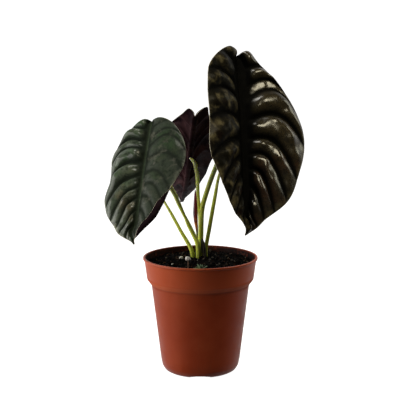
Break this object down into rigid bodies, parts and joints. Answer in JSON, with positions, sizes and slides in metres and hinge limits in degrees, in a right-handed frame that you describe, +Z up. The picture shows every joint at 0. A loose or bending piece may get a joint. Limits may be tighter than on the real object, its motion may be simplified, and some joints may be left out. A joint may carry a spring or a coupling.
{
  "type": "potted alocasia",
  "caption": "Young alocasia with quilted shield-shaped leaves on slim stalks, in soil in a round plastic nursery pot.",
  "frame": {"origin": "centre of the pot's underside, on the plane that the pot stands on", "axes": "+Z up along the pot's axis, -Y towards the side that the two large leaves face, +X to the right seen from there"},
  "size_m": [0.2042, 0.2419, 0.3424],
  "materials": {
    "terracotta_plastic": "satin moulded plastic, terracotta brown",
    "potting_soil": "dark crumbly peat",
    "corm_skin": "fibrous brown",
    "bronze_leaf": "glossy, near black with a bronze sheen",
    "grey_green_leaf": "satin dark grey green",
    "purple_leaf": "satin dark purple underside",
    "green_stalk": "smooth fleshy yellow green",
    "new_leaf_red": "smooth, dark red",
    "dried_sheath": "papery, dry",
    "perlite_white": "matte porous white",
    "toadstool_cream": "matte off-white",
    "seedling_green": "soft pale green"
  },
  "bodies": {
    "root": {"pot": "terracotta_plastic", "soil": "potting_soil", "corm": "corm_skin", "blade_right": "bronze_leaf", "blade_left": "grey_green_leaf", "blade_rear": "purple_leaf", "blade_back_right": "bronze_leaf", "blade_back_left": "grey_green_leaf", "stalk_right": "green_stalk", "stalk_left": "green_stalk", "stalk_rear": "green_stalk", "stalk_back_right": "green_stalk", "stalk_back_left": "green_stalk", "new_leaf": "new_leaf_red", "dried_sheath": "dried_sheath", "perlite_0": "perlite_white", "perlite_1": "perlite_white", "toadstool": "toadstool_cream", "seedling": "seedling_green"}
  },
  "joints": []
}
